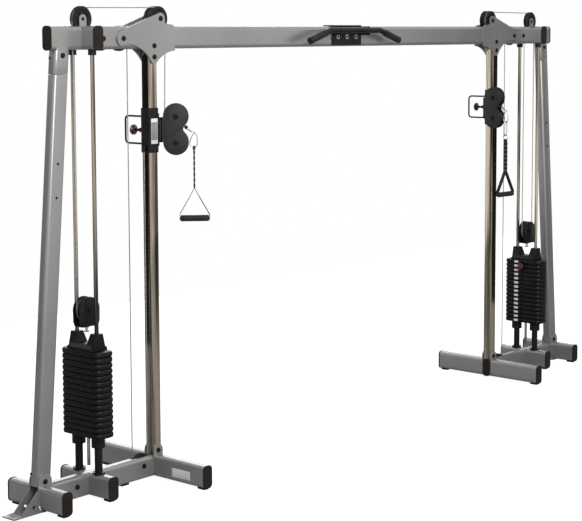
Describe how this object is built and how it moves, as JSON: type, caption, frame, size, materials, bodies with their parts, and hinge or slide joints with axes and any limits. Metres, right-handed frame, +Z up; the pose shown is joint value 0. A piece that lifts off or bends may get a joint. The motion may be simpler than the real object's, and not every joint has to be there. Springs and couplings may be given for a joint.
{
  "type": "cable crossover machine",
  "caption": "Silver-grey cable crossover machine: two towers with black weight stacks, chrome columns, sliding pulley heads with strap handles, and a crossbeam with pull-up bar",
  "frame": {"origin": "centre of the footprint on the floor, midway between the towers", "axes": "+X along the crossbeam, +Y from front to back, +Z up"},
  "size_m": [4.388, 0.682, 2.1185],
  "materials": {
    "frame_paint": "metallic silver-grey powder coat",
    "chrome_tube": "polished chrome plate",
    "black_plastic": "moulded black nylon",
    "black_steel": "black powder coat",
    "black_rubber": "matt rubber",
    "stack_iron": "black enamel",
    "red_knob": "dark red moulded plastic",
    "bright_steel": "zinc plate",
    "cable_wire": "clear-coated steel cable",
    "webbing": "woven nylon"
  },
  "bodies": {
    "frame": {"top_beams": "frame_paint", "base_frames": "frame_paint", "uprights": "frame_paint", "gusset_plates": "frame_paint", "anchor_plates": "frame_paint", "columns": "chrome_tube", "end_caps": "black_plastic", "frame_bolts": "black_steel", "guide_rods": "chrome_tube", "rod_supports": "black_steel", "pull_up_bar": "black_steel", "pull_up_grips": "black_rubber", "resting_plates": "stack_iron", "fixed_cables": "cable_wire"},
    "left_stack": {"left_lifted_plates": "stack_iron", "left_head_plate": "stack_iron", "left_selector_rod": "chrome_tube", "left_pulley_yoke": "black_steel", "left_stack_cable": "cable_wire"},
    "left_pin": {"left_selector_pin": "red_knob"},
    "left_floating_wheel": {"left_floating_pulley": "black_plastic"},
    "left_slide": {"left_carriage": "black_steel", "left_carriage_cable": "cable_wire"},
    "left_lock": {"left_pop_pin": "red_knob"},
    "left_head": {"left_swivel_housing": "black_steel", "left_head_cable": "cable_wire"},
    "left_upper_wheel": {"left_upper_head_pulley": "black_plastic"},
    "left_lower_wheel": {"left_lower_head_pulley": "black_plastic"},
    "left_cable_stop": {"left_ball_stop": "black_rubber"},
    "left_handle": {"left_snap_hook": "bright_steel", "left_strap": "webbing"},
    "left_handle_grip": {"left_grip": "black_rubber"},
    "left_column_wheels": {"left_column_pulleys": "black_plastic"},
    "left_stack_wheel": {"left_stack_pulley": "black_plastic"},
    "left_first_wheel": {"left_first_beam_pulley": "black_plastic"},
    "left_second_wheel": {"left_second_beam_pulley": "black_plastic"},
    "left_floor_wheel": {"left_floor_pulley": "black_plastic"},
    "right_stack": {"right_lifted_plates": "stack_iron", "right_head_plate": "stack_iron", "right_selector_rod": "chrome_tube", "right_pulley_yoke": "black_steel", "right_stack_cable": "cable_wire"},
    "right_pin": {"right_selector_pin": "red_knob"},
    "right_floating_wheel": {"right_floating_pulley": "black_plastic"},
    "right_slide": {"right_carriage": "black_steel", "right_carriage_cable": "cable_wire"},
    "right_lock": {"right_pop_pin": "red_knob"},
    "right_head": {"right_swivel_housing": "black_steel", "right_head_cable": "cable_wire"},
    "right_upper_wheel": {"right_upper_head_pulley": "black_plastic"},
    "right_lower_wheel": {"right_lower_head_pulley": "black_plastic"},
    "right_cable_stop": {"right_ball_stop": "black_rubber"},
    "right_handle": {"right_snap_hook": "bright_steel", "right_strap": "webbing"},
    "right_handle_grip": {"right_grip": "black_rubber"},
    "right_column_wheels": {"right_column_pulleys": "black_plastic"},
    "right_stack_wheel": {"right_stack_pulley": "black_plastic"},
    "right_first_wheel": {"right_first_beam_pulley": "black_plastic"},
    "right_second_wheel": {"right_second_beam_pulley": "black_plastic"},
    "right_floor_wheel": {"right_floor_pulley": "black_plastic"}
  },
  "joints": [
    {"name": "left_stack_lift", "type": "slide", "parent": "frame", "child": "left_stack", "axis": [0, 0, 1], "range_m": [0, 0.95], "deforming": ["left_stack_cable"]},
    {"name": "left_pin_draw", "type": "slide", "parent": "left_stack", "child": "left_pin", "axis": [1, 0, 0], "range_m": [0, 0.09]},
    {"name": "left_floating_turn", "type": "hinge", "parent": "left_stack", "child": "left_floating_wheel", "pos_m": [-1.7465, 0, 0.818], "axis": [0, 1, 0], "range_deg": [-1100, 1100]},
    {"name": "left_carriage_slide", "type": "slide", "parent": "frame", "child": "left_slide", "axis": [0, 0, 1], "range_m": [-0.9, 0.15], "deforming": ["left_carriage_cable"]},
    {"name": "left_lock_pull", "type": "slide", "parent": "left_slide", "child": "left_lock", "axis": [0, 1, 0], "range_m": [-0.01, 0.008], "stiffness_N_per_m": 400, "springref_m": -0.012},
    {"name": "left_head_swivel", "type": "hinge", "parent": "left_slide", "child": "left_head", "pos_m": [-1.291, 0, 1.57], "axis": [0, 0, 1], "range_deg": [-43, 133]},
    {"name": "left_upper_turn", "type": "hinge", "parent": "left_head", "child": "left_upper_wheel", "pos_m": [-1.2415, -0.0495, 1.63], "axis": [0.7071, 0.7071, 0], "range_deg": [-2300, 2300]},
    {"name": "left_lower_turn", "type": "hinge", "parent": "left_head", "child": "left_lower_wheel", "pos_m": [-1.2415, -0.0495, 1.514], "axis": [0.7071, 0.7071, 0], "range_deg": [-2300, 2300]},
    {"name": "left_cable_pull", "type": "slide", "parent": "left_head", "child": "left_cable_stop", "axis": [0.7071, -0.7071, 0], "range_m": [0, 1.9]},
    {"name": "left_handle_swing", "type": "hinge", "parent": "left_cable_stop", "child": "left_handle", "pos_m": [-1.18493, -0.10607, 1.5541], "axis": [-0.7071, -0.7071, 0], "range_deg": [0, 90]},
    {"name": "left_grip_turn", "type": "hinge", "parent": "left_handle", "child": "left_handle_grip", "pos_m": [-1.18493, -0.10607, 1.1701], "axis": [0.7071, -0.7071, 0], "continuous": true},
    {"name": "left_column_turn", "type": "hinge", "parent": "frame", "child": "left_column_wheels", "pos_m": [-1.313, 0, 2.0635], "axis": [0, 1, 0], "range_deg": [-2400, 2400]},
    {"name": "left_stack_wheel_turn", "type": "hinge", "parent": "frame", "child": "left_stack_wheel", "pos_m": [-1.751, 0, 2.06], "axis": [0, 1, 0], "range_deg": [-2400, 2400]},
    {"name": "left_first_turn", "type": "hinge", "parent": "frame", "child": "left_first_wheel", "pos_m": [-1.5365, 0, 1.977], "axis": [0, 1, 0], "range_deg": [-1200, 1200]},
    {"name": "left_second_turn", "type": "hinge", "parent": "frame", "child": "left_second_wheel", "pos_m": [-1.646, 0, 1.977], "axis": [0, 1, 0], "range_deg": [-1200, 1200]},
    {"name": "left_floor_turn", "type": "hinge", "parent": "frame", "child": "left_floor_wheel", "pos_m": [-1.4405, 0, 0.069], "axis": [0, 1, 0], "range_deg": [-1200, 1200]},
    {"name": "right_stack_lift", "type": "slide", "parent": "frame", "child": "right_stack", "axis": [0, 0, 1], "range_m": [0, 0.95], "deforming": ["right_stack_cable"]},
    {"name": "right_pin_draw", "type": "slide", "parent": "right_stack", "child": "right_pin", "axis": [-1, 0, 0], "range_m": [0, 0.09]},
    {"name": "right_floating_turn", "type": "hinge", "parent": "right_stack", "child": "right_floating_wheel", "pos_m": [1.7465, 0, 0.818], "axis": [0, 1, 0], "range_deg": [-1100, 1100]},
    {"name": "right_carriage_slide", "type": "slide", "parent": "frame", "child": "right_slide", "axis": [0, 0, 1], "range_m": [-0.9, 0.15], "deforming": ["right_carriage_cable"]},
    {"name": "right_lock_pull", "type": "slide", "parent": "right_slide", "child": "right_lock", "axis": [0, 1, 0], "range_m": [-0.01, 0.008], "stiffness_N_per_m": 400, "springref_m": -0.012},
    {"name": "right_head_swivel", "type": "hinge", "parent": "right_slide", "child": "right_head", "pos_m": [1.291, 0, 1.57], "axis": [0, 0, 1], "range_deg": [-173, 3]},
    {"name": "right_upper_turn", "type": "hinge", "parent": "right_head", "child": "right_upper_wheel", "pos_m": [1.2849, -0.06973, 1.63], "axis": [0.9962, -0.0872, 0], "range_deg": [-2300, 2300]},
    {"name": "right_lower_turn", "type": "hinge", "parent": "right_head", "child": "right_lower_wheel", "pos_m": [1.2849, -0.06973, 1.514], "axis": [0.9962, -0.0872, 0], "range_deg": [-2300, 2300]},
    {"name": "right_cable_pull", "type": "slide", "parent": "right_head", "child": "right_cable_stop", "axis": [-0.0872, -0.9962, 0], "range_m": [0, 1.9]},
    {"name": "right_handle_swing", "type": "hinge", "parent": "right_cable_stop", "child": "right_handle", "pos_m": [1.27793, -0.14943, 1.5541], "axis": [-0.9962, 0.0872, 0], "range_deg": [0, 90]},
    {"name": "right_grip_turn", "type": "hinge", "parent": "right_handle", "child": "right_handle_grip", "pos_m": [1.27793, -0.14943, 1.0849], "axis": [0.9962, -0.0872, 0], "continuous": true},
    {"name": "right_column_turn", "type": "hinge", "parent": "frame", "child": "right_column_wheels", "pos_m": [1.313, 0, 2.0635], "axis": [0, 1, 0], "range_deg": [-2400, 2400]},
    {"name": "right_stack_wheel_turn", "type": "hinge", "parent": "frame", "child": "right_stack_wheel", "pos_m": [1.751, 0, 2.06], "axis": [0, 1, 0], "range_deg": [-2400, 2400]},
    {"name": "right_first_turn", "type": "hinge", "parent": "frame", "child": "right_first_wheel", "pos_m": [1.5365, 0, 1.977], "axis": [0, 1, 0], "range_deg": [-1200, 1200]},
    {"name": "right_second_turn", "type": "hinge", "parent": "frame", "child": "right_second_wheel", "pos_m": [1.646, 0, 1.977], "axis": [0, 1, 0], "range_deg": [-1200, 1200]},
    {"name": "right_floor_turn", "type": "hinge", "parent": "frame", "child": "right_floor_wheel", "pos_m": [1.4405, 0, 0.069], "axis": [0, 1, 0], "range_deg": [-1200, 1200]}
  ],
  "couplings": [
    {"joint": "left_floating_turn", "follows": "left_stack_lift", "rad_per_m": 19.048},
    {"joint": "left_upper_turn", "follows": "left_stack_lift", "rad_per_m": -40},
    {"joint": "left_lower_turn", "follows": "left_stack_lift", "rad_per_m": 40},
    {"joint": "left_cable_pull", "follows": "left_stack_lift", "ratio": 2},
    {"joint": "left_column_turn", "follows": "left_stack_lift", "rad_per_m": 41.667},
    {"joint": "left_stack_wheel_turn", "follows": "left_stack_lift", "rad_per_m": 41.667},
    {"joint": "left_first_turn", "follows": "left_carriage_slide", "rad_per_m": 20.833},
    {"joint": "left_second_turn", "follows": "left_carriage_slide", "rad_per_m": 20.833},
    {"joint": "left_floor_turn", "follows": "left_carriage_slide", "rad_per_m": -20.833},
    {"joint": "right_floating_turn", "follows": "right_stack_lift", "rad_per_m": -19.048},
    {"joint": "right_upper_turn", "follows": "right_stack_lift", "rad_per_m": -40},
    {"joint": "right_lower_turn", "follows": "right_stack_lift", "rad_per_m": 40},
    {"joint": "right_cable_pull", "follows": "right_stack_lift", "ratio": 2},
    {"joint": "right_column_turn", "follows": "right_stack_lift", "rad_per_m": -41.667},
    {"joint": "right_stack_wheel_turn", "follows": "right_stack_lift", "rad_per_m": -41.667},
    {"joint": "right_first_turn", "follows": "right_carriage_slide", "rad_per_m": -20.833},
    {"joint": "right_second_turn", "follows": "right_carriage_slide", "rad_per_m": -20.833},
    {"joint": "right_floor_turn", "follows": "right_carriage_slide", "rad_per_m": 20.833}
  ]
}
